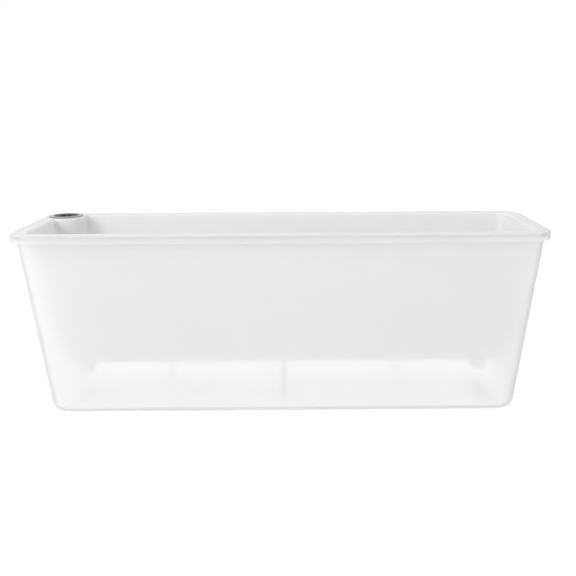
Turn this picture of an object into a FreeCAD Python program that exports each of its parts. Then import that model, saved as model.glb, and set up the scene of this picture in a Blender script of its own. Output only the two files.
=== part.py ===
"""Self-watering trough planter: a frosted water tank, a lift-out planting liner and its fittings.

Millimetres. The origin is the centre of the tank's underside, X runs along the trough,
+Y points to the back, where the filler column stands in the left corner, and +Z is up.
"""

import FreeCAD, Part
import Sketcher
import math
import os

SIZES = {
    # outline of the trough
    "rim_length": 500.0,
    "rim_width": 150.0,
    "rim_corner": 22.0,
    "rim_height": 178.0,
    # water tank
    "rim_overhang": 5.5,
    "band_height": 6.8,
    "band_skirt": 2.0,
    "band_web": 2.2,
    "band_round": 0.8,
    "wall_slope": 0.115,
    "tank_wall": 2.3,
    "tank_floor": 2.6,
    "tank_base_corner": 20.0,
    "tank_base_round": 9.0,
    "foot_ring": 9.0,
    "foot_recess": 0.8,
    # planting liner
    "flange_thick": 1.2,
    "flange_inset": 2.2,
    "flange_clearance": 0.2,
    "flange_round": 0.4,
    "mouth_round": 2.6,
    "liner_gap": 6.0,
    "liner_wall": 2.0,
    "liner_extra_inset": 5.5,
    "liner_top_corner": 12.0,
    "liner_base_corner": 14.0,
    "liner_base_round": 7.0,
    "floor_level": 48.0,
    "floor_thick": 2.2,
    "foot_spread": 191.0,
    "foot_row": 27.0,
    "foot_radius": 8.5,
    "foot_tip_radius": 7.0,
    "foot_drop": 10.0,
    "slot_length": 16.0,
    "slot_width": 2.4,
    "slot_step": 26.0,
    "slot_row_step": 22.0,
    # filler column, collar and stopper
    "column_from_end": 21.6,
    "column_from_back": 24.0,
    "column_radius": 21.0,
    "column_wall": 2.0,
    "column_gap": 0.9,
    "column_blend": 1.2,
    "shaft_shift": 14.5,
    "shaft_foot_radius": 11.0,
    "shaft_drop": 10.0,
    "collar_radius": 17.0,
    "collar_edge": 0.9,
    "collar_rise": 1.3,
    "collar_seat_radius": 12.8,
    "collar_seat_depth": 0.1,
    "neck_radius": 10.7,
    "neck_bore": 9.2,
    "neck_depth": 8.6,
    "neck_clearance": 0.06,
    "stopper_radius": 12.4,
    "stopper_body": 8.8,
    "stopper_wall": 1.3,
    "stopper_depth": 5.6,
    "stopper_grip": 2.4,
    "lens_radius": 5.0,
    "lens_clearance": 0.05,
    "lens_lip": 0.6,
    "seal_section": 0.8,
    "seal_reach": 9.13,
    # float gauge, which leans with the shaft
    "tube_radius": 5.0,
    "tube_wall": 0.7,
    "tube_top": 7.0,
    "tube_length": 160.0,
    "spider_depth": 8.4,
    "spider_height": 2.0,
    "spider_wall": 1.3,
    "spider_arm": 1.2,
    "stop_wall": 0.9,
    "stop_cup": 5.0,
    "stop_bore": 1.5,
    "float_radius": 3.8,
    "float_length": 40.0,
    "float_rest": 0.2,
    "rod_radius": 1.0,
    "rod_socket": 6.0,
    "socket_clearance": 0.05,
    "tip_radius": 3.5,
    "tip_length": 12.0,
    "tip_top": 45.0,
    # wicks and their grommets
    "wick_radius": 2.6,
    "wick_bottom": 9.0,
    "wick_bend": 3.2,
    "wick_tail": 52.0,
    "wick_spread": 118.0,
    "wick_front_row": 27.0,
    "wick_back_row": 24.0,
    "grommet_bore": 2.75,
    "grommet_neck": 4.95,
    "grommet_flange": 7.6,
    "grommet_flange_thick": 1.3,
    "grommet_lip": 5.7,
    "grommet_lip_height": 1.6,
    "grommet_gap": 0.1,
    # overflow plug in the back wall
    "overflow_x": 150.0,
    "overflow_level": 41.0,
    "overflow_radius": 5.0,
    "plug_clearance": 0.06,
    "plug_flange": 7.8,
    "plug_flange_thick": 1.6,
    "plug_nose": 3.0,
    "plug_tab_length": 9.0,
    "plug_tab_width": 5.0,
}

UP = FreeCAD.Vector(0, 0, 1)
LEVEL_TOLERANCE = 0.05
SLOT_COLUMNS = range(-6, 7)
SLOT_ROWS = (-1, 0, 1)

# Recurring heights and positions, as expressions over the sheet.
RIM = "Sizes.rim_height"
TANK_TOP = "(Sizes.rim_height - Sizes.flange_thick)"
BAND_BOTTOM = "(Sizes.rim_height - Sizes.flange_thick - Sizes.band_height)"
FLOOR_TOP = "(Sizes.floor_level + Sizes.floor_thick)"
COLUMN_X = "(Sizes.column_from_end - Sizes.rim_length / 2)"
COLUMN_Y = "(Sizes.rim_width / 2 - Sizes.column_from_back)"
SHAFT_X = f"({COLUMN_X} + Sizes.shaft_shift)"
SHAFT_Y = f"({COLUMN_Y} - Sizes.shaft_shift)"
SHAFT_END = "(Sizes.floor_level - Sizes.shaft_drop)"

doc = FreeCAD.newDocument("SelfWateringPlanter")


def make_sheet():
    """The spreadsheet of driving dimensions."""
    sheet = doc.addObject("Spreadsheet::Sheet", "Sizes")
    for row, (alias, size) in enumerate(SIZES.items(), start=1):
        sheet.set(f"A{row}", alias)
        sheet.set(f"B{row}", str(size))
        sheet.setAlias(f"B{row}", alias)
    doc.recompute()
    return sheet


sheet = make_sheet()


def value(expression):
    """The number that an expression over the sheet comes to."""
    result = sheet.evalExpression(expression.replace("Sizes.", ""))
    return float(getattr(result, "Value", result))


def tank_inset(level):
    """How far the tank's outer wall stands in from the rim's outline at a level."""
    return f"(Sizes.rim_overhang + Sizes.wall_slope * ({BAND_BOTTOM} - {level}))"


def column_limit(level):
    """How far in the filler column has to stay, so that it clears the tank's wall."""
    return f"({tank_inset(level)} + Sizes.tank_wall + Sizes.column_gap)"


def liner_inset(level):
    """How far the liner's outer wall stands in: it leans in more than the tank does."""
    lean = f"Sizes.liner_extra_inset * ({TANK_TOP} - {level}) / ({TANK_TOP} - Sizes.floor_level)"
    return f"({tank_inset(level)} + Sizes.tank_wall + Sizes.liner_gap + {lean})"


def new_body(name):
    body = doc.addObject("PartDesign::Body", name)
    body.Label = name
    return body


def origin_plane(body, role):
    return next(f for f in body.Origin.OriginFeatures if f.Role == role)


def new_sketch(body, name, plane="XY_Plane", level="0"):
    """A sketch on one of the body's own planes, raised to a level above it."""
    sketch = body.newObject("Sketcher::SketchObject", name)
    sketch.AttachmentSupport = [(origin_plane(body, plane), "")]
    sketch.MapMode = "FlatFace"
    sketch.setExpression(".AttachmentOffset.Base.z", level)
    return sketch


def bind(sketch, name, constraint, expression):
    """Adds a dimension to a sketch and binds it to the sheet."""
    index = sketch.addConstraint(constraint)
    sketch.renameConstraint(index, name)
    sketch.setExpression(f"Constraints.{name}", expression)


def draw_rounded_rectangle(sketch, inset, corner):
    """A rounded rectangle, centred, standing in from the rim's outline by an inset."""
    half_x = f"(Sizes.rim_length / 2 - {inset})"
    half_y = f"(Sizes.rim_width / 2 - {inset})"
    x, y, r = value(half_x), value(half_y), value(corner)
    quadrants = [(1, -1), (1, 1), (-1, 1), (-1, -1)]
    for turn, (side_x, side_y) in enumerate(quadrants):
        centre = FreeCAD.Vector(side_x * (x - r), side_y * (y - r), 0)
        start = math.radians(-90 + 90 * turn)
        circle = Part.Circle(centre, UP, r)
        sketch.addGeometry(Part.ArcOfCircle(circle, start, start + math.pi / 2), False)
    for turn in range(4):
        before = sketch.Geometry[turn]
        after = sketch.Geometry[(turn + 1) % 4]
        sketch.addGeometry(Part.LineSegment(before.EndPoint, after.StartPoint), False)
    for turn in range(4):
        arc, line, after = turn, 4 + turn, (turn + 1) % 4
        sketch.addConstraint(Sketcher.Constraint("Tangent", arc, 2, line, 1))
        sketch.addConstraint(Sketcher.Constraint("Tangent", line, 2, after, 1))
        direction = "Vertical" if turn % 2 == 0 else "Horizontal"
        sketch.addConstraint(Sketcher.Constraint(direction, line))
    for turn in range(1, 4):
        sketch.addConstraint(Sketcher.Constraint("Equal", 0, turn))
    right, back, left, front = range(4, 8)
    bind(sketch, "corner", Sketcher.Constraint("Radius", 0, r), corner)
    bind(sketch, "right", Sketcher.Constraint("DistanceX", -1, 1, right, 1, x), half_x)
    bind(sketch, "left", Sketcher.Constraint("DistanceX", left, 1, -1, 1, x), half_x)
    bind(sketch, "back", Sketcher.Constraint("DistanceY", -1, 1, back, 1, y), half_y)
    bind(sketch, "front", Sketcher.Constraint("DistanceY", front, 1, -1, 1, y), half_y)


def rounded_rectangle(name, inset, corner, level):
    """A level sketch of a rounded rectangle."""
    sketch = doc.addObject("Sketcher::SketchObject", name)
    sketch.setExpression(".Placement.Base.z", level)
    draw_rounded_rectangle(sketch, inset, corner)
    return sketch


def taper(name, lower, upper):
    """A solid that tapers from one outline to another."""
    solid = doc.addObject("Part::Loft", name)
    solid.Sections = [lower, upper]
    solid.Solid = True
    solid.Ruled = True
    return solid


def prism(name, sketch, height):
    """A straight-sided solid that rises from its outline."""
    solid = doc.addObject("Part::Extrusion", name)
    solid.Base = sketch
    solid.DirMode = "Custom"
    solid.Dir = UP
    solid.Solid = True
    solid.setExpression("LengthFwd", height)
    return solid


def fillet(name, base, radius, keep):
    """Rounds the edges of a solid that pass a test."""
    doc.recompute()
    size = value(radius)
    numbered = enumerate(base.Shape.Edges, start=1)
    rounded = doc.addObject("Part::Fillet", name)
    rounded.Base = base
    rounded.Edges = [(number, size, size) for number, edge in numbered if keep(edge)]
    return rounded


def round_edges(name, base, radius, level, keep=lambda edge: True):
    """Rounds the edges of a solid that lie at a level."""
    height = value(level)

    def at_level(edge):
        box = edge.BoundBox
        return max(abs(box.ZMin - height), abs(box.ZMax - height)) < LEVEL_TOLERANCE and keep(edge)

    return fillet(name, base, radius, at_level)


def revolve(name, outline, x="0", y="0", z="0"):
    """A body turned about its upright axis from (radius, level) corners, then placed."""
    body = new_body(name)
    sketch = new_sketch(body, f"{name}_profile", "XZ_Plane")
    corners = [FreeCAD.Vector(value(r), value(level), 0) for r, level in outline]
    count = len(corners)
    for index in range(count):
        side = Part.LineSegment(corners[index], corners[(index + 1) % count])
        sketch.addGeometry(side, False)
    for index in range(count):
        join = Sketcher.Constraint("Coincident", index, 2, (index + 1) % count, 1)
        sketch.addConstraint(join)
    for index, (radius, level) in enumerate(outline):
        across = Sketcher.Constraint("DistanceX", -1, 1, index, 1, corners[index].x)
        along = Sketcher.Constraint("DistanceY", -1, 1, index, 1, corners[index].y)
        bind(sketch, f"radius{index}", across, radius)
        bind(sketch, f"level{index}", along, level)
    turned = body.newObject("PartDesign::Revolution", f"{name}_turned")
    turned.Profile = sketch
    turned.ReferenceAxis = (sketch, ["V_Axis"])
    turned.Angle = 360.0
    for axis, place in zip("xyz", (x, y, z)):
        body.setExpression(f".Placement.Base.{axis}", place)
    doc.recompute()
    return body


def circle(name, radius, x, y, level):
    """A level sketch of a circle."""
    sketch = doc.addObject("Sketcher::SketchObject", name)
    sketch.addGeometry(Part.Circle(FreeCAD.Vector(0, 0, 0), UP, value(radius)), False)
    sketch.addConstraint(Sketcher.Constraint("Coincident", 0, 3, -1, 1))
    bind(sketch, "radius", Sketcher.Constraint("Radius", 0, value(radius)), radius)
    for axis, place in zip("xyz", (x, y, level)):
        sketch.setExpression(f".Placement.Base.{axis}", place)
    return sketch


def cylinder(name, radius, height, x, y, z):
    solid = doc.addObject("Part::Cylinder", name)
    solid.setExpression("Radius", radius)
    solid.setExpression("Height", height)
    for axis, place in zip("xyz", (x, y, z)):
        solid.setExpression(f".Placement.Base.{axis}", place)
    return solid


def cut(name, base, tool):
    result = doc.addObject("Part::Cut", name)
    result.Base = base
    result.Tool = tool
    return result


def fuse(name, shapes):
    result = doc.addObject("Part::MultiFuse", name)
    result.Shapes = shapes
    return result


def wall_normal_placement():
    """The frame of the overflow hole: on the back wall's face, +Z straight out of it."""
    level = "Sizes.overflow_level"
    y = value(f"Sizes.rim_width / 2 - {tank_inset(level)}")
    point = FreeCAD.Vector(value("Sizes.overflow_x"), y, value(level))
    outward = FreeCAD.Vector(0, 1, -value("Sizes.wall_slope"))
    return FreeCAD.Placement(point, FreeCAD.Rotation(UP, outward))


def tank_outside():
    """The tank's tapered outer form, with its rim band and the recess under its floor.

    A low lip runs round the rim and holds the liner's flange.
    """
    top = tank_inset(TANK_TOP)
    bottom = tank_inset("0")
    lower = rounded_rectangle("tank_base_outline", bottom, "Sizes.tank_base_corner", "0")
    upper = rounded_rectangle("tank_top_outline", top, f"(Sizes.rim_corner - {top})", TANK_TOP)
    block = round_edges("tank_base_edge", taper("tank_block", lower, upper), "Sizes.tank_base_round", "0")

    band_outline = rounded_rectangle("band_outline", "0", "Sizes.rim_corner", BAND_BOTTOM)
    band = prism("rim_band", band_outline, "Sizes.band_height + Sizes.flange_thick")
    band = round_edges("band_lower_edge", band, "Sizes.band_round", BAND_BOTTOM)
    band = round_edges("band_upper_edge", band, "Sizes.band_round", RIM)

    skirt = "Sizes.band_skirt"
    skirt_corner = f"(Sizes.rim_corner - {skirt})"
    channel_outline = rounded_rectangle("channel_outline", skirt, skirt_corner, BAND_BOTTOM)
    channel = prism("band_channel", channel_outline, "Sizes.band_height - Sizes.band_web")
    lip = "(Sizes.flange_inset - Sizes.flange_clearance)"
    seat_outline = rounded_rectangle("seat_outline", lip, f"(Sizes.rim_corner - {lip})", TANK_TOP)
    seat = prism("flange_seat", seat_outline, "2 * Sizes.flange_thick")

    ring_inset = f"({bottom} + Sizes.tank_base_round + Sizes.foot_ring)"
    ring_corner = "(Sizes.tank_base_corner - Sizes.tank_base_round)"
    recess_outline = rounded_rectangle("recess_outline", ring_inset, ring_corner, "0")
    recess = prism("underside_recess", recess_outline, "Sizes.foot_recess")

    skirted = cut("seated_band", cut("skirted_band", band, channel), seat)
    return cut("tank_outside", fuse("tank_solid", [block, skirted]), recess)


def tank_inside():
    """The space inside the tank's walls."""
    wall = "Sizes.tank_wall"
    floor = "Sizes.tank_floor"
    top = f"({tank_inset(TANK_TOP)} + {wall})"
    base = f"({tank_inset(floor)} + {wall})"
    lower = rounded_rectangle("hollow_base_outline", base, f"(Sizes.tank_base_corner - {wall})", floor)
    upper = rounded_rectangle("hollow_top_outline", top, f"(Sizes.rim_corner - {top})", TANK_TOP)
    hollow = taper("tank_hollow", lower, upper)
    return round_edges("tank_inner_edge", hollow, f"Sizes.tank_base_round - {wall}", floor)


def make_water_tank():
    """Frosted outer tank: a tapered trough with a skirted rim band."""
    drill = doc.addObject("Part::Cylinder", "overflow_drill")
    drill.setExpression("Radius", "Sizes.overflow_radius")
    drill.setExpression("Height", "4 * Sizes.tank_wall")
    start = FreeCAD.Vector(0, 0, -2 * value("Sizes.tank_wall"))
    wall = wall_normal_placement()
    drill.Placement = FreeCAD.Placement(wall.multVec(start), wall.Rotation)
    shell = cut("tank_shell", tank_outside(), tank_inside())
    return cut("water_tank", shell, drill)


def liner_outside():
    """The liner's outer form with its flange."""
    floor = "Sizes.floor_level"
    base = liner_inset(floor)
    top = liner_inset(TANK_TOP)
    lower = rounded_rectangle("liner_base_outline", base, "Sizes.liner_base_corner", floor)
    upper = rounded_rectangle("liner_top_outline", top, "Sizes.liner_top_corner", TANK_TOP)
    block = taper("liner_block", lower, upper)
    block = round_edges("liner_base_edge", block, "Sizes.liner_base_round", floor)

    edge = "Sizes.flange_inset"
    outline = rounded_rectangle("flange_outline", edge, f"(Sizes.rim_corner - {edge})", TANK_TOP)
    flange = prism("flange", outline, "Sizes.flange_thick")
    flange = round_edges("flange_edge", flange, "Sizes.flange_round", RIM)
    return block, flange


def planting_space():
    """The tapered space for soil inside the liner's walls."""
    wall = "Sizes.liner_wall"
    base = f"({liner_inset(FLOOR_TOP)} + {wall})"
    top = f"({liner_inset(RIM)} + {wall})"
    lower = rounded_rectangle("soil_base_outline", base, f"(Sizes.liner_base_corner - {wall})", FLOOR_TOP)
    upper = rounded_rectangle("soil_top_outline", top, f"(Sizes.liner_top_corner - {wall})", RIM)
    space = taper("soil_block", lower, upper)
    return round_edges("soil_edge", space, f"Sizes.liner_base_round - {wall}", FLOOR_TOP)


def column_form(name, thinner, bottom, top):
    """The filler column's form: a skewed cone, held inside the tank's walls.

    Its inner side is nearly upright, and its outer side leans in with the tank.
    """
    mouth = circle(f"{name}_mouth", f"(Sizes.column_radius - {thinner})", COLUMN_X, COLUMN_Y, top)
    foot = circle(f"{name}_foot", f"(Sizes.shaft_foot_radius - {thinner})", SHAFT_X, SHAFT_Y, bottom)
    cone = taper(f"{name}_cone", foot, mouth)
    base = f"({column_limit(bottom)} + {thinner})"
    head = f"({column_limit(top)} + {thinner})"
    base_corner = f"(Sizes.tank_base_corner - Sizes.tank_wall - Sizes.column_gap - {thinner})"
    lower = rounded_rectangle(f"{name}_limit_base", base, base_corner, bottom)
    upper = rounded_rectangle(f"{name}_limit_top", head, f"(Sizes.rim_corner - {head})", top)
    form = doc.addObject("Part::Common", name)
    form.Base = taper(f"{name}_limit", lower, upper)
    form.Tool = cone
    form.Refine = False
    return form


def make_feet():
    """Four tapered feet under the liner's floor."""
    feet = []
    for side_x in (-1, 1):
        for side_y in (-1, 1):
            foot = doc.addObject("Part::Cone", "liner_foot")
            foot.setExpression("Radius1", "Sizes.foot_tip_radius")
            foot.setExpression("Radius2", "Sizes.foot_radius")
            foot.setExpression("Height", "Sizes.foot_drop + Sizes.floor_thick / 2")
            foot.setExpression(".Placement.Base.x", f"{side_x} * Sizes.foot_spread")
            foot.setExpression(".Placement.Base.y", f"{side_y} * Sizes.foot_row")
            foot.setExpression(".Placement.Base.z", "Sizes.floor_level - Sizes.foot_drop")
            feet.append(foot)
    return feet


def wick_places():
    """Name, x and y of each wick, staggered along the floor."""
    return [
        ("left", "-Sizes.wick_spread", "Sizes.wick_back_row"),
        ("centre", "0", "-Sizes.wick_front_row"),
        ("right", "Sizes.wick_spread", "Sizes.wick_back_row"),
    ]


def make_floor_openings():
    """Drainage slots in the liner's floor, and the holes that hold the wick grommets."""
    openings = []
    height = "3 * Sizes.floor_thick"
    low = "Sizes.floor_level - Sizes.floor_thick"
    clear = value("Sizes.grommet_flange + Sizes.slot_length / 2")
    wicks = [(value(x), value(y)) for _, x, y in wick_places()]
    for column in SLOT_COLUMNS:
        for row in SLOT_ROWS:
            x = value(f"{column} * Sizes.slot_step")
            y = value(f"{row} * Sizes.slot_row_step")
            if any(math.hypot(x - wick_x, y - wick_y) < clear for wick_x, wick_y in wicks):
                continue
            slot = doc.addObject("Part::Box", "floor_slot")
            slot.setExpression("Length", "Sizes.slot_length")
            slot.setExpression("Width", "Sizes.slot_width")
            slot.setExpression("Height", height)
            slot.setExpression(".Placement.Base.x", f"{column} * Sizes.slot_step - Sizes.slot_length / 2")
            slot.setExpression(".Placement.Base.y", f"{row} * Sizes.slot_row_step - Sizes.slot_width / 2")
            slot.setExpression(".Placement.Base.z", low)
            openings.append(slot)
    for name, x, y in wick_places():
        radius = "Sizes.grommet_neck + Sizes.grommet_gap"
        openings.append(cylinder(f"wick_hole_{name}", radius, height, x, y, low))
    return openings


def make_planting_liner():
    """White lift-out liner with the filler column moulded into its back left corner."""
    open_shell = cut("open_shell", fuse("liner_solid", liner_outside()), planting_space())
    column = column_form("column_outside", "0", SHAFT_END, RIM)
    shell = fuse("liner_shell", [open_shell, column, *make_feet()])
    shell = fillet("blended_shell", shell, "Sizes.column_blend", column_crease)
    below = f"({SHAFT_END} - Sizes.column_wall)"
    bore = column_form("column_inside", "Sizes.column_wall", below, TANK_TOP)
    mouth_radius = "Sizes.neck_radius + Sizes.neck_clearance"
    mouth_low = f"{TANK_TOP} - Sizes.flange_thick"
    through = "3 * Sizes.flange_thick"
    mouth = cylinder("filler_mouth", mouth_radius, through, COLUMN_X, COLUMN_Y, mouth_low)
    shell = cut("mouthed_shell", cut("bored_shell", shell, bore), mouth)
    holes = fuse("floor_holes", make_floor_openings())
    pierced = cut("pierced_liner", shell, holes)
    return round_edges("planting_liner", pierced, "Sizes.mouth_round", RIM, planting_edge)


def column_crease(edge):
    """True for the two long edges where the column meets the liner's inner walls."""
    box = edge.BoundBox
    to_rim = abs(box.ZMax - value(RIM)) < LEVEL_TOLERANCE
    tall = box.ZLength > value("0.5 * Sizes.rim_height")
    away = math.hypot(box.Center.x - value(COLUMN_X), box.Center.y - value(COLUMN_Y))
    return to_rim and tall and away < value("2 * Sizes.column_radius")


def planting_edge(edge):
    """True for an edge round the planting opening, but not round the filler mouth."""
    box = edge.BoundBox
    margin = "(Sizes.flange_inset + Sizes.mouth_round)"
    inside_x = max(-box.XMin, box.XMax) < value(f"Sizes.rim_length / 2 - {margin}")
    inside_y = max(-box.YMin, box.YMax) < value(f"Sizes.rim_width / 2 - {margin}")
    centre = edge.CenterOfMass
    away = math.hypot(centre.x - value(COLUMN_X), centre.y - value(COLUMN_Y))
    return inside_x and inside_y and away > value("1.1 * Sizes.neck_radius")


def make_filler_collar():
    """Grey collar that lines the filler mouth, with a low domed flange and a seat."""
    outline = [
        ("Sizes.neck_bore", "-Sizes.neck_depth"),
        ("Sizes.neck_radius", "-Sizes.neck_depth"),
        ("Sizes.neck_radius", "0"),
        ("Sizes.collar_radius", "0"),
        ("Sizes.collar_radius", "Sizes.collar_edge"),
        ("Sizes.collar_radius - 0.6 * Sizes.collar_rise", "0.85 * Sizes.collar_rise"),
        ("Sizes.collar_seat_radius + 1.2 * Sizes.collar_rise", "Sizes.collar_rise"),
        ("Sizes.collar_seat_radius", "0.8 * Sizes.collar_rise"),
        ("Sizes.neck_bore", "-Sizes.collar_seat_depth"),
    ]
    return revolve("filler_collar", outline, COLUMN_X, COLUMN_Y, RIM)


def make_filler_stopper():
    """Dark ring-shaped stopper: a finger bar over its cup, a seat for a lens and a seal groove."""
    groove_top = "(-0.5 * Sizes.stopper_depth + 1.1 * Sizes.seal_section)"
    groove_bottom = "(-0.5 * Sizes.stopper_depth - 1.1 * Sizes.seal_section)"
    groove_floor = "(Sizes.seal_reach - 2 * Sizes.seal_section - Sizes.lens_clearance)"
    cup = "(Sizes.stopper_body - 2 * Sizes.stopper_wall)"
    cup_floor = "(Sizes.stopper_wall - Sizes.stopper_depth)"
    outline = [
        ("Sizes.lens_radius - Sizes.lens_lip", "-Sizes.stopper_depth"),
        ("Sizes.stopper_body", "-Sizes.stopper_depth"),
        ("Sizes.stopper_body", groove_bottom),
        (groove_floor, groove_bottom),
        (groove_floor, groove_top),
        ("Sizes.stopper_body", groove_top),
        ("Sizes.stopper_body", "-Sizes.collar_seat_depth"),
        ("Sizes.stopper_radius", "0.8 * Sizes.collar_rise"),
        ("Sizes.stopper_radius - 0.5 * Sizes.stopper_wall", "Sizes.collar_rise"),
        (cup, "0.5 * Sizes.collar_rise"),
        (cup, cup_floor),
        ("Sizes.lens_radius + Sizes.lens_clearance", cup_floor),
        ("Sizes.lens_radius + Sizes.lens_clearance", "Sizes.lens_lip - Sizes.stopper_depth"),
        ("Sizes.lens_radius - Sizes.lens_lip", "Sizes.lens_lip - Sizes.stopper_depth"),
    ]
    body = revolve("stopper_ring", outline, COLUMN_X, COLUMN_Y, RIM)
    bar = doc.addObject("Part::Box", "stopper_bar")
    bar.setExpression("Length", "Sizes.stopper_grip")
    bar.setExpression("Width", f"2 * {cup} + Sizes.lens_lip")
    bar.setExpression("Height", "Sizes.stopper_grip")
    bar.setExpression(".Placement.Base.x", f"{COLUMN_X} - Sizes.stopper_grip / 2")
    bar.setExpression(".Placement.Base.y", f"{COLUMN_Y} - {cup} - Sizes.lens_lip / 2")
    bar.setExpression(".Placement.Base.z", f"{RIM} - Sizes.stopper_grip")
    return fuse("filler_stopper", [body, bar])


def make_stopper_lens():
    """Clear domed window in the stopper's floor, over the float gauge."""
    seat = "(Sizes.lens_lip - Sizes.stopper_depth)"
    outline = [
        ("0", seat),
        ("Sizes.lens_radius", seat),
        ("Sizes.lens_radius", f"{seat} + Sizes.lens_lip"),
        ("0.7 * Sizes.lens_radius", f"{seat} + 2 * Sizes.lens_lip"),
        ("0", f"{seat} + 2.4 * Sizes.lens_lip"),
    ]
    return revolve("stopper_lens", outline, COLUMN_X, COLUMN_Y, RIM)


def make_stopper_seal():
    """Rubber ring in the stopper's groove."""
    ring = doc.addObject("Part::Torus", "stopper_seal")
    ring.setExpression("Radius1", "Sizes.seal_reach - Sizes.seal_section")
    ring.setExpression("Radius2", "Sizes.seal_section")
    ring.setExpression(".Placement.Base.x", COLUMN_X)
    ring.setExpression(".Placement.Base.y", COLUMN_Y)
    ring.setExpression(".Placement.Base.z", f"{RIM} - 0.5 * Sizes.stopper_depth")
    return ring


def lean():
    """The rotation that leans the float gauge back along the shaft."""
    back = -value("Sizes.shaft_shift")
    rise = value(f"{RIM} - {SHAFT_END}")
    return FreeCAD.Rotation(UP, FreeCAD.Vector(back, -back, rise))


def gauge_part(name, outline):
    """A turned part of the gauge: its levels run down the shaft from the middle of the mouth."""
    part = revolve(name, outline, COLUMN_X, COLUMN_Y, RIM)
    part.Placement.Rotation = lean()
    return part


def make_gauge_tube():
    """Clear guide tube for the float, hung in the collar's neck by a three-armed ring."""
    inner = "(Sizes.tube_radius - Sizes.tube_wall)"
    top = "-Sizes.tube_top"
    bottom = "(-Sizes.tube_top - Sizes.tube_length)"
    outline = [(inner, bottom), ("Sizes.tube_radius", bottom), ("Sizes.tube_radius", top), (inner, top)]
    tube = gauge_part("gauge_pipe", outline)

    reach = "(Sizes.neck_bore - Sizes.neck_clearance)"
    low = "-Sizes.spider_depth"
    high = "(Sizes.spider_height - Sizes.spider_depth)"
    inside = f"({reach} - Sizes.spider_wall)"
    outline = [(inside, low), (reach, low), (reach, high), (inside, high)]
    pieces = [revolve("spider_ring", outline, COLUMN_X, COLUMN_Y, RIM)]
    for arm in range(3):
        bar = doc.addObject("Part::Box", "spider_arm")
        bar.setExpression("Length", f"{inside} + Sizes.spider_wall / 2")
        bar.setExpression("Width", "Sizes.spider_arm")
        bar.setExpression("Height", "Sizes.spider_height")
        turn = FreeCAD.Rotation(UP, 120 * arm)
        side = turn.multVec(FreeCAD.Vector(0, -value("Sizes.spider_arm") / 2, 0))
        centre = FreeCAD.Vector(value(COLUMN_X), value(COLUMN_Y), value(f"{RIM} - Sizes.spider_depth"))
        bar.Placement = FreeCAD.Placement(centre + side, turn)
        pieces.append(bar)
    hub = gauge_part("spider_hub_bore", [("0", bottom), (inner, bottom), (inner, "0"), ("0", "0")])
    return fuse("gauge_tube", [tube, cut("spider", fuse("spider_solid", pieces), hub)])


def make_gauge_stop():
    """Push-on end of the guide tube, with a hole for water, that the float rests on."""
    end = "(-Sizes.tube_top - Sizes.tube_length)"
    cup = "(Sizes.tube_radius + Sizes.socket_clearance)"
    outside = f"({cup} + Sizes.stop_wall)"
    floor = f"({end} - Sizes.socket_clearance)"
    outline = [
        ("Sizes.stop_bore", f"{floor} - Sizes.stop_wall"),
        (outside, f"{floor} - Sizes.stop_wall"),
        (outside, f"{end} + Sizes.stop_cup"),
        (cup, f"{end} + Sizes.stop_cup"),
        (cup, floor),
        ("Sizes.stop_bore", floor),
    ]
    return gauge_part("gauge_stop", outline)


def make_gauge_float():
    """Foam float with a socket for the rod."""
    bottom = "(-Sizes.tube_top - Sizes.tube_length + Sizes.float_rest)"
    top = f"({bottom} + Sizes.float_length)"
    socket = "(Sizes.rod_radius + Sizes.socket_clearance)"
    outline = [
        ("0", bottom),
        ("0.8 * Sizes.float_radius", bottom),
        ("Sizes.float_radius", f"{bottom} + 0.3 * Sizes.float_radius"),
        ("Sizes.float_radius", f"{top} - 0.3 * Sizes.float_radius"),
        ("0.8 * Sizes.float_radius", top),
        (socket, top),
        (socket, f"{top} - Sizes.rod_socket"),
        ("0", f"{top} - Sizes.rod_socket"),
    ]
    return gauge_part("gauge_float", outline)


def make_gauge_rod():
    """Thin rod from the float up to the indicator."""
    top = "(-Sizes.tip_top - Sizes.tip_length + Sizes.rod_socket - Sizes.socket_clearance)"
    float_top = "(Sizes.float_rest + Sizes.float_length - Sizes.tube_top - Sizes.tube_length)"
    bottom = f"({float_top} - Sizes.rod_socket + Sizes.socket_clearance)"
    outline = [("0", bottom), ("Sizes.rod_radius", bottom), ("Sizes.rod_radius", top), ("0", top)]
    return gauge_part("gauge_rod", outline)


def make_indicator_tip():
    """Coloured tip that rises towards the lens as the tank fills."""
    bottom = "(-Sizes.tip_top - Sizes.tip_length)"
    socket = "(Sizes.rod_radius + Sizes.socket_clearance)"
    outline = [
        (socket, bottom),
        ("Sizes.tip_radius", bottom),
        ("Sizes.tip_radius", "-Sizes.tip_top - 0.5 * Sizes.tip_radius"),
        ("0.7 * Sizes.tip_radius", "-Sizes.tip_top - 0.1 * Sizes.tip_radius"),
        ("0", "-Sizes.tip_top"),
        ("0", f"{bottom} + Sizes.rod_socket"),
        (socket, f"{bottom} + Sizes.rod_socket"),
    ]
    return gauge_part("indicator_tip", outline)


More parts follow.
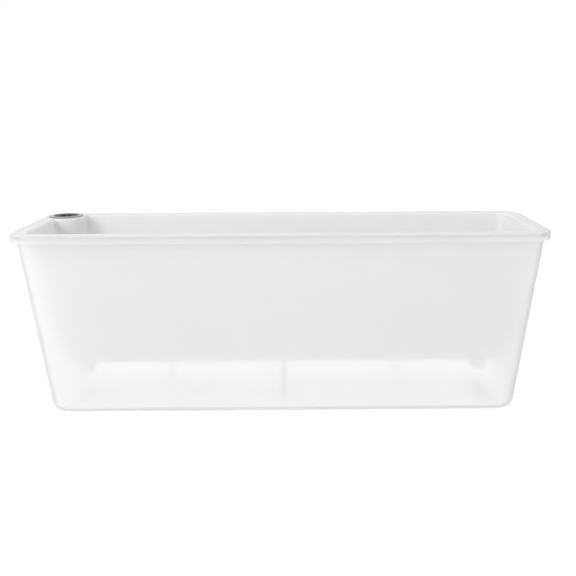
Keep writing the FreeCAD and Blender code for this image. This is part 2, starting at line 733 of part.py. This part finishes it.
def make_wick(name, x, y, heading):
    """Cord that hangs in the water, passes the grommet and lies along the liner's floor."""
    body = new_body(f"wick_{name}")
    path = new_sketch(body, f"wick_path_{name}", "XZ_Plane")
    low, bend = value("Sizes.wick_bottom"), value("Sizes.wick_bend")
    lying = f"{FLOOR_TOP} + Sizes.grommet_flange_thick + Sizes.grommet_gap + Sizes.wick_bend"
    lie = value(lying)
    turn = FreeCAD.Vector(bend, lie - bend, 0)
    path.addGeometry(Part.LineSegment(FreeCAD.Vector(0, low, 0), FreeCAD.Vector(0, lie - bend, 0)), False)
    bend_circle = Part.Circle(turn, UP, bend)
    path.addGeometry(Part.ArcOfCircle(bend_circle, math.pi / 2, math.pi), False)
    tail_end = FreeCAD.Vector(bend + value("Sizes.wick_tail"), lie, 0)
    path.addGeometry(Part.LineSegment(FreeCAD.Vector(bend, lie, 0), tail_end), False)
    path.addConstraint(Sketcher.Constraint("Tangent", 0, 2, 1, 2))
    path.addConstraint(Sketcher.Constraint("Tangent", 1, 1, 2, 1))
    path.addConstraint(Sketcher.Constraint("Vertical", 0))
    path.addConstraint(Sketcher.Constraint("Horizontal", 2))
    path.addConstraint(Sketcher.Constraint("PointOnObject", 0, 1, -2))
    bind(path, "low", Sketcher.Constraint("DistanceY", -1, 1, 0, 1, low), "Sizes.wick_bottom")
    bind(path, "bend", Sketcher.Constraint("Radius", 1, bend), "Sizes.wick_bend")
    bind(path, "lie", Sketcher.Constraint("DistanceY", -1, 1, 2, 1, lie), lying)
    bind(path, "tail", Sketcher.Constraint("DistanceX", 2, 1, 2, 2, tail_end.x - bend), "Sizes.wick_tail")
    section = new_sketch(body, f"wick_section_{name}", "XY_Plane", "Sizes.wick_bottom")
    radius = value("Sizes.wick_radius")
    section.addGeometry(Part.Circle(FreeCAD.Vector(0, 0, 0), UP, radius), False)
    section.addConstraint(Sketcher.Constraint("Coincident", 0, 3, -1, 1))
    bind(section, "radius", Sketcher.Constraint("Radius", 0, radius), "Sizes.wick_radius")
    cord = body.newObject("PartDesign::AdditivePipe", f"wick_cord_{name}")
    cord.Profile = section
    cord.Spine = (path, ["Edge1", "Edge2", "Edge3"])
    body.Placement = FreeCAD.Placement(FreeCAD.Vector(0, 0, 0), FreeCAD.Rotation(UP, heading))
    body.setExpression(".Placement.Base.x", x)
    body.setExpression(".Placement.Base.y", y)
    return body


def make_grommet(name, x, y):
    """Flanged grommet that snaps into the liner's floor round a wick."""
    under = "(Sizes.floor_level - Sizes.grommet_gap)"
    thick = "Sizes.grommet_flange_thick"
    outline = [
        ("Sizes.grommet_bore", f"{under} - Sizes.grommet_lip_height"),
        ("Sizes.grommet_neck", f"{under} - Sizes.grommet_lip_height"),
        ("Sizes.grommet_lip", f"{under} - 0.4 * Sizes.grommet_lip_height"),
        ("Sizes.grommet_lip", under),
        ("Sizes.grommet_neck", under),
        ("Sizes.grommet_neck", FLOOR_TOP),
        ("Sizes.grommet_flange", FLOOR_TOP),
        ("Sizes.grommet_flange", f"{FLOOR_TOP} + 0.5 * {thick}"),
        (f"Sizes.grommet_flange - 0.5 * {thick}", f"{FLOOR_TOP} + {thick}"),
        ("Sizes.grommet_bore", f"{FLOOR_TOP} + {thick}"),
    ]
    return revolve(f"wick_grommet_{name}", outline, x, y, "0")


def make_overflow_plug():
    """Soft plug for the overflow hole: nose, flange and a pull tab, square to the wall."""
    nose_radius = "(Sizes.overflow_radius - Sizes.plug_clearance)"
    reach = "(Sizes.tank_wall + Sizes.plug_nose)"
    nose = cylinder("plug_nose", nose_radius, reach, "0", "0", f"-{reach}")
    flange = cylinder("plug_flange", "Sizes.plug_flange", "Sizes.plug_flange_thick", "0", "0", "0")
    tab = doc.addObject("Part::Box", "plug_tab")
    tab.setExpression("Length", "Sizes.plug_tab_width")
    tab.setExpression("Width", "Sizes.plug_flange_thick")
    tab.setExpression("Height", "Sizes.plug_tab_length")
    tab.setExpression(".Placement.Base.x", "-Sizes.plug_tab_width / 2")
    tab.setExpression(".Placement.Base.y", "-Sizes.plug_flange_thick / 2")
    plug = fuse("overflow_plug", [nose, flange, tab])
    plug.Placement = wall_normal_placement()
    return plug


def check_document():
    """Stops if any object failed to compute."""
    for item in doc.Objects:
        bad = [state for state in item.State if state in ("Invalid", "Error")]
        if bad:
            raise RuntimeError(f"{item.Name} is {bad[0]}")


def export(parts):
    """Writes each valid part to its own STEP file."""
    os.makedirs("parts", exist_ok=True)
    for part in parts:
        shape = part.Shape
        if shape.isNull() or not shape.isValid() or not shape.Solids:
            raise RuntimeError(f"{part.Label} has no valid solid")
        shape.exportStep(f"parts/{part.Label}.step")
        print(part.Label, len(shape.Solids), round(shape.Volume), shape.BoundBox)


def main():
    headings = {"left": 0.0, "centre": 180.0, "right": 180.0}
    parts = [
        make_water_tank(),
        make_planting_liner(),
        make_filler_collar(),
        make_filler_stopper(),
        make_stopper_lens(),
        make_stopper_seal(),
        make_gauge_tube(),
        make_gauge_stop(),
        make_gauge_float(),
        make_gauge_rod(),
        make_indicator_tip(),
        make_overflow_plug(),
    ]
    for name, x, y in wick_places():
        parts.append(make_wick(name, x, y, headings[name]))
        parts.append(make_grommet(name, x, y))
    doc.recompute()
    check_document()
    export(parts)


main()
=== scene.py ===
"""Looks of the self-watering trough planter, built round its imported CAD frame. Metres."""

import math

import bmesh
import bpy
from mathutils import Matrix, Vector


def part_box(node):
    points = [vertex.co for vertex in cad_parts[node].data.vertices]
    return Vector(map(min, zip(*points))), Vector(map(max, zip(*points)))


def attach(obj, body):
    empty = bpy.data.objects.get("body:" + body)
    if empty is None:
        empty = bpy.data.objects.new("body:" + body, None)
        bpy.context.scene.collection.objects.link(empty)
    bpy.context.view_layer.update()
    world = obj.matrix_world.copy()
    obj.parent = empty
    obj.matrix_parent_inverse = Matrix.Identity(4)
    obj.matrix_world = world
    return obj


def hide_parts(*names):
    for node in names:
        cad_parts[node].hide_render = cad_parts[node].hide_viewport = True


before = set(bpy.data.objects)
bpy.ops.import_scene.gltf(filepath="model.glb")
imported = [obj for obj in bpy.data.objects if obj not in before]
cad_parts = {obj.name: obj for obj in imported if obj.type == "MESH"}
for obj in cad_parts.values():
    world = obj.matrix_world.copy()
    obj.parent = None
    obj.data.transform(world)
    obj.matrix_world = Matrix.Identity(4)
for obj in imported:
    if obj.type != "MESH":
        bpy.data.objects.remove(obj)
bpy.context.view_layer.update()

MM = 0.001

# The tank's section, as the frame has it.
TANK_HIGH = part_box("water_tank")[1]
HALF_LENGTH = TANK_HIGH.x
HALF_WIDTH = TANK_HIGH.y
RIM_TOP = TANK_HIGH.z
FLANGE = 1.2 * MM
TANK_TOP = RIM_TOP - FLANGE
RIM_CORNER = 22.0 * MM
OVERHANG = 5.5 * MM
BAND_HEIGHT = 6.8 * MM
BAND_SKIRT = 2.0 * MM
BAND_WEB = 2.2 * MM
LIP = 2.0 * MM
WALL_SLOPE = 0.115
WALL = 2.3 * MM
TANK_FLOOR = 2.6 * MM
BASE_CORNER = 20.0 * MM
BASE_ROUND = 9.0 * MM
FOOT_RING = 9.0 * MM
FOOT_RECESS = 0.8 * MM
BAND_BOTTOM = TANK_TOP - BAND_HEIGHT

# How finely the tank's mesh follows that section and the plan of its rim.
ARC_STEPS = 5
CORNER_STEPS = 9
FRONT_STEPS = 18
END_STEPS = 5
LEAST_CORNER = 0.4 * MM
LEAST_STRAIGHT = 0.1 * MM

# How far in the level sheets of the underside and of the tank's floor are ringed before they close.
UNDERSIDE_MARGIN = 12.0 * MM
FLOOR_MARGIN = 30.0 * MM

# The wicks' cords: strands wound both ways round a core.
WICK_RADIUS = 2.6 * MM
WICK_BEND = 3.2 * MM
WICK_STEP = 0.7 * MM
WICK_PITCH = 18.0 * MM
STRANDS = 4
STRAND_RADIUS = 0.3 * WICK_RADIUS
STRAND_SWAY = 0.22 * WICK_RADIUS
STRAND_SIDES = 7
CORE_SIDES = 10

# The frosted plastic: how milky it is face on and at a slant, and how much it blurs and bends.
TANK_MILK = 0.36
SLANT_MILK = 0.9
# Painted shade: the darker colour put on the wall where it is seen at a slant, standing partly for the
# longer path through the plastic.
EDGE_SHADE_MILK = (0.88, 0.88, 0.88, 1)
TANK_GLOW = 0.45
HAZE = 0.5
HAZE_BEND = 1.25
# Height of the band along the bottom edge where painted floor light fades out the painted edge shade.
LIT_EDGE = 12.0 * MM

LINER_WHITE = (0.91, 0.91, 0.91)
LINER_GLOW = 0.2

# Strengths of the floor and the surroundings, as seen and as a light, and the key light.
FLOOR_GLOW = 0.98
FLOOR_LIGHT = 0.76
FLOOR_REACH = 6.0
BACKDROP = 1.0
SURROUND = 0.9
KEY_POWER = 9.6
KEY_SIZE = 0.55
KEY_PLACE = Vector((-1.3, -1.0, 0.95))
KEY_TARGET = Vector((0, 0, 0.1))
DIFFUSE_BOUNCES = 8

# The camera, by its place round the object, its lens and its shift.
LENS = 50.87 * MM
SENSOR = 36.0 * MM
NEAREST = 50.0 * MM
DISTANCE = 0.8061
PITCH = math.radians(8.757)
YAW = math.radians(0.447)
ROLL = math.radians(-0.276)
AIM = Vector((0.0288, 0.0, 0.17895))
SHIFT = (-0.0411, -0.1160)


# ---------------------------------------------------------------- meshes


def wall_inset(level):
    """How far the tank's outer wall stands in from the rim's outline."""
    return OVERHANG + WALL_SLOPE * (BAND_BOTTOM - level)


def wall_corner(level):
    """The plan radius of the tank's outer wall at a level."""
    top = RIM_CORNER - wall_inset(TANK_TOP)
    return BASE_CORNER + (top - BASE_CORNER) * level / TANK_TOP


def rounded_profile(points):
    """A polyline of (across, up, radius) points with each corner turned into an arc."""
    path = [Vector(points[0][:2])]
    for before, here, after in zip(points, points[1:], points[2:]):
        corner, radius = Vector(here[:2]), here[2]
        back = Vector(before[:2]) - corner
        ahead = Vector(after[:2]) - corner
        half = back.angle(ahead) / 2
        run = min(radius / math.tan(half), 0.49 * back.length, 0.49 * ahead.length)
        start = corner + back.normalized() * run
        end = corner + ahead.normalized() * run
        middle = (back.normalized() + ahead.normalized()).normalized()
        centre = corner + middle * (run / math.cos(half))
        reach = run * math.tan(half)
        first = start - centre
        last = end - centre
        turn = first.angle_signed(last)
        for step in range(ARC_STEPS + 1):
            spin = Matrix.Rotation(-turn * step / ARC_STEPS, 2)
            path.append(centre + (spin @ first).normalized() * reach)
    path.append(Vector(points[-1][:2]))
    return path


def ring(inset, corner, level):
    """Points round a rounded rectangle, from the middle of the right end, anticlockwise."""
    x, y = HALF_LENGTH - inset, HALF_WIDTH - inset
    corner = min(max(corner, LEAST_CORNER), y - LEAST_STRAIGHT)
    quadrant = []
    for step in range(END_STEPS):
        quadrant.append((x, (y - corner) * step / END_STEPS))
    for step in range(CORNER_STEPS + 1):
        angle = math.pi / 2 * step / CORNER_STEPS
        quadrant.append((x - corner + corner * math.cos(angle), y - corner + corner * math.sin(angle)))
    for step in range(1, FRONT_STEPS):
        quadrant.append(((x - corner) * (1 - step / FRONT_STEPS), y))
    upper = quadrant + [(0.0, y)] + [(-px, py) for px, py in reversed(quadrant[1:])]
    lower = [(-px, -py) for px, py in upper]
    return [Vector((px, py, level)) for px, py in upper + lower]


def lathe_round(name, profile, corner_at):
    """A closed moulding: rings that follow a section, capped at both ends of it."""
    mesh = bmesh.new()
    loops = []
    for inset, level in profile:
        points = ring(inset, corner_at(inset, level), level)
        loops.append([mesh.verts.new(point) for point in points])
    count = len(loops[0])
    for lower, upper in zip(loops, loops[1:]):
        for index in range(count):
            after = (index + 1) % count
            mesh.faces.new((lower[index], lower[after], upper[after], upper[index]))
    for loop in (loops[0], loops[-1]):
        half = count // 2
        for index in range(half):
            corners = [loop[index], loop[index + 1], loop[count - index - 1], loop[-index]]
            mesh.faces.new(list(dict.fromkeys(corners)))
    bmesh.ops.recalc_face_normals(mesh, faces=mesh.faces)
    return to_object(name, mesh)


def to_object(name, mesh):
    """A smooth-shaded object in the scene, from a bmesh that it uses up."""
    data = bpy.data.meshes.new(name)
    mesh.to_mesh(data)
    mesh.free()
    obj = bpy.data.objects.new(name, data)
    bpy.context.scene.collection.objects.link(obj)
    data.shade_smooth()
    return obj


def make_tank():
    """The frosted tank: underside ring, outer wall, skirted rim band with a lip, inner wall, floor."""
    base = wall_inset(0)
    inner = wall_inset(TANK_TOP) + WALL
    inner_low = wall_inset(TANK_FLOOR) + WALL
    ceiling = TANK_TOP - BAND_WEB
    ring_edge = base + BASE_ROUND + FOOT_RING
    recess_edge = ring_edge + 0.4 * MM
    sharp = 0.3 * MM
    fine = 0.5 * MM
    edge = 0.8 * MM
    section = [
        (ring_edge + UNDERSIDE_MARGIN, FOOT_RECESS, 0),
        (recess_edge, FOOT_RECESS, fine),
        (ring_edge, 0.0, fine),
        (base, 0.0, BASE_ROUND),
        (wall_inset(ceiling), ceiling, edge),
        (BAND_SKIRT, ceiling, edge),
        (BAND_SKIRT, BAND_BOTTOM, fine),
        (0.0, BAND_BOTTOM, edge),
        (0.0, RIM_TOP, edge),
        (LIP, RIM_TOP, sharp),
        (LIP, TANK_TOP, sharp),
        (inner, TANK_TOP, fine),
        (inner_low, TANK_FLOOR, BASE_ROUND - WALL),
        (inner_low + FLOOR_MARGIN, TANK_FLOOR, 0),
    ]

    def corner_at(inset, level):
        return wall_corner(level) - (inset - wall_inset(level))

    tank = lathe_round("tank_moulding", rounded_profile(section), corner_at)
    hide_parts("water_tank")
    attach(tank, "tank")
    return tank


def sweep_tube(mesh, centres, radius, sides):
    """A closed tube of even radius along a polyline."""
    loops = []
    side = Vector((0, 1, 0))
    for index, centre in enumerate(centres):
        ahead = centres[min(index + 1, len(centres) - 1)]
        behind = centres[max(index - 1, 0)]
        forward = (ahead - behind).normalized()
        side = (side - forward * side.dot(forward)).normalized()
        up = forward.cross(side)
        loop = []
        for step in range(sides):
            angle = math.tau * step / sides
            offset = side * math.cos(angle) + up * math.sin(angle)
            loop.append(mesh.verts.new(centre + offset * radius))
        loops.append(loop)
    for lower, upper in zip(loops, loops[1:]):
        for index in range(sides):
            after = (index + 1) % sides
            mesh.faces.new((lower[index], lower[after], upper[after], upper[index]))
    mesh.faces.new(list(reversed(loops[0])))
    mesh.faces.new(loops[-1])


def cord_path(low, high, forward):
    """Places and frames along a wick: up through its grommet, round a bend and along the floor."""
    start = Vector((low.x if forward > 0 else high.x, (low.y + high.y) / 2, low.z))
    start.x += forward * WICK_RADIUS
    lie = high.z - WICK_RADIUS
    far = high.x if forward > 0 else low.x
    rise = lie - WICK_BEND - start.z
    arc = WICK_BEND * math.pi / 2
    run = abs(far - start.x) - WICK_BEND
    count = round((rise + arc + run) / WICK_STEP)
    for step in range(count + 1):
        travel = (rise + arc + run) * step / count
        if travel <= rise:
            yield start + Vector((0, 0, travel)), Vector((0, 0, 1))
        elif travel <= rise + arc:
            angle = (travel - rise) / WICK_BEND
            place = Vector((forward * (1 - math.cos(angle)), 0, math.sin(angle))) * WICK_BEND
            heading = Vector((forward * math.sin(angle), 0, math.cos(angle)))
            yield start + Vector((0, 0, rise)) + place, heading
        else:
            place = Vector((forward * (WICK_BEND + travel - rise - arc), 0, rise + WICK_BEND))
            yield start + place, Vector((forward, 0, 0))


def make_wick(name, forward):
    """A braided cord: four strands each way round, weaving over and under one another."""
    low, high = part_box(name)
    path = list(cord_path(low, high, forward))
    mesh = bmesh.new()
    middle = WICK_RADIUS - STRAND_SWAY - STRAND_RADIUS
    across = Vector((0, 1, 0))
    for turn in (-1, 1):
        for number in range(STRANDS):
            centres = []
            for index, (place, ahead) in enumerate(path):
                phase = math.tau * index * WICK_STEP / WICK_PITCH
                angle = turn * phase + math.tau * number / STRANDS
                reach = middle + turn * STRAND_SWAY * math.cos(STRANDS * phase)
                up = ahead.cross(across)
                centres.append(place + (across * math.cos(angle) + up * math.sin(angle)) * reach)
            sweep_tube(mesh, centres, STRAND_RADIUS, STRAND_SIDES)
    sweep_tube(mesh, [place for place, _ in path], middle, CORE_SIDES)
    bmesh.ops.recalc_face_normals(mesh, faces=mesh.faces)
    cord = to_object(f"{name}_cord", mesh)
    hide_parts(name)
    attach(cord, "liner")
    return cord


# ---------------------------------------------------------------- materials


class Look:
    """A material's node tree with short calls, in object space, so that patterns have a real size."""

    def __init__(self, name):
        self.material = bpy.data.materials.new(name)
        self.material.use_nodes = True
        self.nodes = self.material.node_tree.nodes
        self.links = self.material.node_tree.links
        self.nodes.clear()
        self.place = self.add("ShaderNodeTexCoord").outputs["Object"]

    def add(self, kind, **inputs):
        """A new node with some of its inputs linked or set."""
        node = self.nodes.new(kind)
        for name, entry in inputs.items():
            self.feed(node.inputs[name.replace("_", " ")], entry)
        return node

    def feed(self, socket, entry):
        """Links a socket to another one, or sets it to a plain value."""
        if isinstance(entry, bpy.types.NodeSocket):
            self.links.new(entry, socket)
        else:
            socket.default_value = entry

    def noise(self, scale, detail=3.0, stretch=None):
        """Noise from 0 to 1, with a scale in features per metre."""
        place = self.place
        if stretch:
            mapping = self.add("ShaderNodeMapping", Vector=place, Scale=stretch)
            place = mapping.outputs[0]
        return self.add("ShaderNodeTexNoise", Vector=place, Scale=scale, Detail=detail).outputs["Fac"]

    def spread(self, source, low, high):
        """Maps the middle of a noise's range to low and high."""
        return self.ramp(source, 0.3, 0.7, low, high)

    def ramp(self, source, start, end, low, high):
        """Maps start to end of a value to low and high."""
        node = self.add("ShaderNodeMapRange", Value=source)
        for name, entry in (("From Min", start), ("From Max", end), ("To Min", low), ("To Max", high)):
            self.feed(node.inputs[name], entry)
        return node.outputs["Result"]

    def blend_colour(self, factor, first, second):
        """A colour between two; sockets 6, 7 and output 2 are the mix node's colour ones."""
        node = self.add("ShaderNodeMix")
        node.data_type = "RGBA"
        self.feed(node.inputs[0], factor)
        self.feed(node.inputs[6], first)
        self.feed(node.inputs[7], second)
        return node.outputs[2]

    def tint(self, source, dark, light):
        """A colour between two, by a noise."""
        return self.blend_colour(self.spread(source, 0.0, 1.0), (*dark, 1), (*light, 1))

    def bump(self, height, depth, normal=None):
        """A bump of a real depth in metres."""
        node = self.add("ShaderNodeBump", Strength=1.0, Distance=depth, Height=height)
        if normal:
            self.links.new(normal, node.inputs["Normal"])
        return node.outputs[0]

    def mix(self, factor, first, second):
        """A shader between two."""
        node = self.nodes.new("ShaderNodeMixShader")
        self.feed(node.inputs[0], factor)
        self.links.new(first, node.inputs[1])
        self.links.new(second, node.inputs[2])
        return node.outputs[0]

    def done(self, shader):
        """The material, with this shader as its surface."""
        out = self.nodes.new("ShaderNodeOutputMaterial")
        self.links.new(shader, out.inputs["Surface"])
        return self.material


def shade(colour, factor):
    """A colour made lighter or darker."""
    return tuple(min(1.0, channel * factor) for channel in colour)


def moulded(name, colour, roughness, grain=900.0, depth=0.012 * MM, mottle=0.03, glow=0.0):
    """Moulded plastic or rubber: fine texture, faint mottling and uneven gloss.

    Glow is the share of light that comes through.
    """
    look = Look(name)
    cloud = look.noise(35.0)
    tone = look.tint(cloud, shade(colour, 1 - mottle), shade(colour, 1 + mottle))
    gloss = look.spread(look.noise(120.0), roughness - 0.05, roughness + 0.06)
    waves = look.bump(look.noise(14.0, 1.0), 0.05 * MM)
    grains = look.bump(look.noise(grain, 2.0), depth, waves)
    skin = look.add("ShaderNodeBsdfPrincipled", Base_Color=tone, Roughness=gloss, Normal=grains)
    shader = skin.outputs[0]
    if glow:
        behind = look.add("ShaderNodeBsdfTranslucent", Color=tone)
        shader = look.mix(glow, shader, behind.outputs[0])
    return look.done(shader)


def frosted(name):
    """Milky see-through plastic: the further behind it a thing is, the softer it looks.

    What the camera sees is bent and blurred at the first surface, the next surface bends it
    back, and light itself passes straight through. At a slant the wall is thicker, so it looks
    milkier. Its colour is also painted darker there as painted shade, which partly stands for that
    longer path, except along the bottom edge, where painted floor light leaves it undarkened.
    """
    look = Look(name)
    flow = look.noise(9.0, 2.0, (1.0, 1.0, 0.25))
    milk = look.tint(flow, (0.965, 0.965, 0.963), (0.98, 0.98, 0.978))
    slant = look.add("ShaderNodeLayerWeight", Blend=0.5).outputs["Facing"]
    height = look.add("ShaderNodeSeparateXYZ", Vector=look.place).outputs["Z"]
    # Painted floor light: below LIT_EDGE the painted edge shade fades out towards the floor.
    painted_shade_above_floor = look.ramp(height, 0.0, LIT_EDGE, 0.0, 1.0)
    # Painted shade: the colour is darkened at a slant, less so near the bottom edge.
    milk = look.blend_colour(look.ramp(slant, 0.15, 1.0, 0.0, painted_shade_above_floor), milk, EDGE_SHADE_MILK)
    gloss = look.spread(look.noise(70.0), 0.36, 0.46)
    grains = look.bump(look.noise(1100.0, 2.0), 0.008 * MM)
    skin = look.add("ShaderNodeBsdfPrincipled", Base_Color=milk, Roughness=gloss, Normal=grains)
    skin.inputs["Specular IOR Level"].default_value = 0.35
    glow = look.add("ShaderNodeBsdfTranslucent", Color=milk)
    body = look.mix(TANK_GLOW, skin.outputs[0], glow.outputs[0])

    path = look.nodes.new("ShaderNodeLightPath")
    blur = look.spread(flow, HAZE - 0.03, HAZE + 0.03)
    haze = look.add("ShaderNodeBsdfRefraction", Color=(1, 1, 1, 1), IOR=HAZE_BEND, Roughness=blur)
    onward = look.add("ShaderNodeBsdfRefraction", Color=(1, 1, 1, 1), IOR=HAZE_BEND, Roughness=0.0)
    clear = look.add("ShaderNodeBsdfTransparent", Color=(0.99, 0.99, 0.99, 1))
    through = look.mix(path.outputs["Is Transmission Ray"], clear.outputs[0], onward.outputs[0])
    through = look.mix(path.outputs["Is Camera Ray"], through, haze.outputs[0])
    thickness = look.ramp(slant, 0.2, 1.0, TANK_MILK, SLANT_MILK)
    return look.done(look.mix(thickness, through, body))


def clear_plastic(name, colour, clarity):
    """Clear moulded plastic: a glossy skin over a faint tint."""
    look = Look(name)
    gloss = look.spread(look.noise(200.0), 0.05, 0.14)
    lines = look.bump(look.noise(300.0, 2.0, (1.0, 1.0, 0.1)), 0.01 * MM)
    skin = look.add("ShaderNodeBsdfPrincipled", Base_Color=(*colour, 1), Roughness=gloss, Normal=lines)
    clear = look.add("ShaderNodeBsdfTransparent", Color=(*shade(colour, 1.1), 1))
    edge = look.add("ShaderNodeLayerWeight", Blend=0.35)
    amount = look.spread(edge.outputs["Facing"], 1 - clarity, 1.0)
    return look.done(look.mix(amount, clear.outputs[0], skin.outputs[0]))


def collar_plastic(name):
    """Grey moulded ring with fine turned lines round the mouth, its sloping edge painted dark as painted
    shade against its lighter level top.
    """
    look = Look(name)
    low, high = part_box("filler_collar")
    middle = (low + high) / 2
    to_axis = (-middle.x, -middle.y, 0.0)
    from_axis = look.add("ShaderNodeMapping", Vector=look.place, Location=to_axis)
    rings = look.add("ShaderNodeTexWave", Vector=from_axis.outputs[0], Scale=380.0, Distortion=0.3)
    rings.wave_type = "RINGS"
    rings.rings_direction = "Z"
    turned = look.bump(rings.outputs["Fac"], 0.01 * MM)
    normal = look.nodes.new("ShaderNodeNewGeometry").outputs["Normal"]
    facing = look.add("ShaderNodeSeparateXYZ", Vector=normal)
    # Painted light and shade: faces that look up get the lighter grey, sloping faces the darker grey, as
    # a painted shadow gap round the ring.
    painted_top_light = look.ramp(facing.outputs["Z"], 0.9, 0.99, 0.0, 1.0)
    tone = look.blend_colour(painted_top_light, (0.2, 0.2, 0.205, 1), (0.46, 0.46, 0.465, 1))
    gloss = look.spread(look.noise(300.0), 0.3, 0.4)
    skin = look.add("ShaderNodeBsdfPrincipled", Base_Color=tone, Roughness=gloss, Normal=turned)
    return look.done(skin.outputs[0])


def foam(name):
    """Closed-cell foam with visible cells."""
    look = Look(name)
    cells = look.add("ShaderNodeTexVoronoi", Vector=look.place, Scale=900.0).outputs["Distance"]
    tone = look.tint(look.noise(260.0), (0.8, 0.8, 0.77), (0.9, 0.9, 0.88))
    pits = look.bump(cells, 0.18 * MM)
    skin = look.add("ShaderNodeBsdfPrincipled", Base_Color=tone, Roughness=0.75, Normal=pits)
    return look.done(skin.outputs[0])


def cotton(name):
    """Undyed cotton yarn: fine fibres, flecks and a soft sheen."""
    look = Look(name)
    fleck = look.noise(700.0, 4.0)
    tone = look.tint(fleck, (0.8, 0.79, 0.75), (0.92, 0.91, 0.89))
    fibres = look.bump(look.noise(2600.0, 4.0), 0.12 * MM)
    yarn = look.add("ShaderNodeBsdfPrincipled", Base_Color=tone, Roughness=0.85, Normal=fibres)
    yarn.inputs["Sheen Weight"].default_value = 0.4
    yarn.inputs["Sheen Roughness"].default_value = 0.5
    return look.done(yarn.outputs[0])


def dress(obj, material):
    """Gives a piece its material."""
    obj.data.materials.clear()
    obj.data.materials.append(material)


def dress_node(name, material):
    """Gives a CAD node a material through its object's slots."""
    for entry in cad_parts[name].material_slots:
        entry.link = "OBJECT"
        entry.material = material


# ---------------------------------------------------------------- stage


def floor_paper():
    """Pale paper, lit from below as on a light table, with a faint tooth.

    From underneath it is clear, so that the object's underside can be looked at.
    """
    look = Look("floor_paper")
    tooth = look.bump(look.noise(700.0), 0.05 * MM)
    tone = look.tint(look.noise(6.0), (0.3, 0.3, 0.3), (0.32, 0.32, 0.32))
    skin = look.add("ShaderNodeBsdfDiffuse", Color=tone, Normal=tooth)
    as_light = look.nodes.new("ShaderNodeLightPath").outputs["Is Diffuse Ray"]
    strength = look.ramp(as_light, 0.0, 1.0, FLOOR_GLOW, FLOOR_LIGHT)
    table = look.add("ShaderNodeEmission", Color=(1, 1, 1, 1), Strength=strength)
    both = look.nodes.new("ShaderNodeAddShader")
    look.links.new(skin.outputs[0], both.inputs[0])
    look.links.new(table.outputs[0], both.inputs[1])
    underneath = look.nodes.new("ShaderNodeNewGeometry").outputs["Backfacing"]
    clear = look.add("ShaderNodeBsdfTransparent", Color=(1, 1, 1, 1))
    return look.done(look.mix(underneath, both.outputs[0], clear.outputs[0]))


def make_floor():
    """A wide level sheet that the trough stands on."""
    mesh = bmesh.new()
    bmesh.ops.create_grid(mesh, x_segments=8, y_segments=8, size=FLOOR_REACH)
    floor = to_object("floor", mesh)
    dress(floor, floor_paper())


def make_key():
    """A soft light from the left, in front and above."""
    data = bpy.data.lights.new("key", "AREA")
    data.energy = KEY_POWER
    data.size = KEY_SIZE
    lamp = bpy.data.objects.new("key", data)
    lamp.location = KEY_PLACE
    lamp.rotation_euler = (KEY_TARGET - KEY_PLACE).to_track_quat("-Z", "Y").to_euler()
    bpy.context.scene.collection.objects.link(lamp)


def make_surroundings():
    """Even white surroundings, dimmer as a light than as a backdrop.

    The backdrop also stays white when it is seen through clear plastic.
    """
    world = bpy.data.worlds.new("studio")
    bpy.context.scene.world = world
    world.use_nodes = True
    nodes = world.node_tree.nodes
    links = world.node_tree.links
    path = nodes.new("ShaderNodeLightPath")
    seen = nodes.new("ShaderNodeMath")
    seen.operation = "MAXIMUM"
    links.new(path.outputs["Is Camera Ray"], seen.inputs[0])
    links.new(path.outputs["Is Transmission Ray"], seen.inputs[1])
    level = nodes.new("ShaderNodeMapRange")
    level.inputs["To Min"].default_value = SURROUND
    level.inputs["To Max"].default_value = BACKDROP
    links.new(seen.outputs[0], level.inputs["Value"])
    links.new(level.outputs["Result"], nodes["Background"].inputs["Strength"])
    nodes["Background"].inputs["Color"].default_value = (1, 1, 1, 1)


def make_camera():
    """The camera in front of the trough, a little above its rim."""
    data = bpy.data.cameras.new("camera")
    data.lens = LENS / MM
    data.sensor_width = SENSOR / MM
    data.shift_x, data.shift_y = SHIFT
    data.clip_start = NEAREST
    camera = bpy.data.objects.new("camera", data)
    turn = Matrix.Rotation(-YAW, 3, "Z")
    place = turn @ (AIM + Vector((0, -DISTANCE * math.cos(PITCH), DISTANCE * math.sin(PITCH))))
    look = turn @ Vector((0, math.cos(PITCH), -math.sin(PITCH)))
    aim = look.to_track_quat("-Z", "Y").to_matrix() @ Matrix.Rotation(ROLL, 3, "Z")
    camera.matrix_world = Matrix.Translation(place) @ aim.to_4x4()
    bpy.context.scene.collection.objects.link(camera)
    bpy.context.scene.camera = camera


# ---------------------------------------------------------------- assembly


dress(make_tank(), frosted("frosted_tank"))
dress_node("planting_liner", moulded("white_liner", LINER_WHITE, 0.42, mottle=0.015, glow=LINER_GLOW))
dress_node("filler_collar", collar_plastic("grey_collar"))
dress_node("filler_stopper", moulded("dark_stopper", (0.035, 0.035, 0.036), 0.5, 1800.0, 0.03 * MM, 0.2))
dress_node("stopper_lens", clear_plastic("clear_lens", (0.85, 0.87, 0.88), 0.8))
dress_node("stopper_seal", moulded("black_seal", (0.02, 0.02, 0.02), 0.45, 2000.0, 0.02 * MM, 0.2))
dress_node("gauge_tube", clear_plastic("clear_tube", (0.86, 0.89, 0.89), 0.7))
dress_node("gauge_stop", clear_plastic("clear_stop", (0.84, 0.87, 0.87), 0.5))
dress_node("gauge_float", foam("white_foam"))
dress_node("gauge_rod", moulded("white_rod", (0.78, 0.78, 0.78), 0.3))
dress_node("indicator_tip", moulded("red_tip", (0.62, 0.05, 0.03), 0.3, 1400.0, 0.01 * MM, 0.08))
dress_node("overflow_plug", moulded("milky_plug", (0.82, 0.835, 0.835), 0.48, 1500.0, 0.02 * MM))
yarn = cotton("cotton_cord")
rubber = moulded("pale_grommet", (0.8, 0.8, 0.8), 0.5, 1500.0, 0.02 * MM)
for side, forward in (("left", 1), ("centre", -1), ("right", -1)):
    dress(make_wick(f"wick_{side}", forward), yarn)
    dress_node(f"wick_grommet_{side}", rubber)
make_floor()
make_surroundings()
make_key()
make_camera()
bpy.context.scene.view_settings.view_transform = "Standard"
bpy.context.scene.cycles.diffuse_bounces = DIFFUSE_BOUNCES
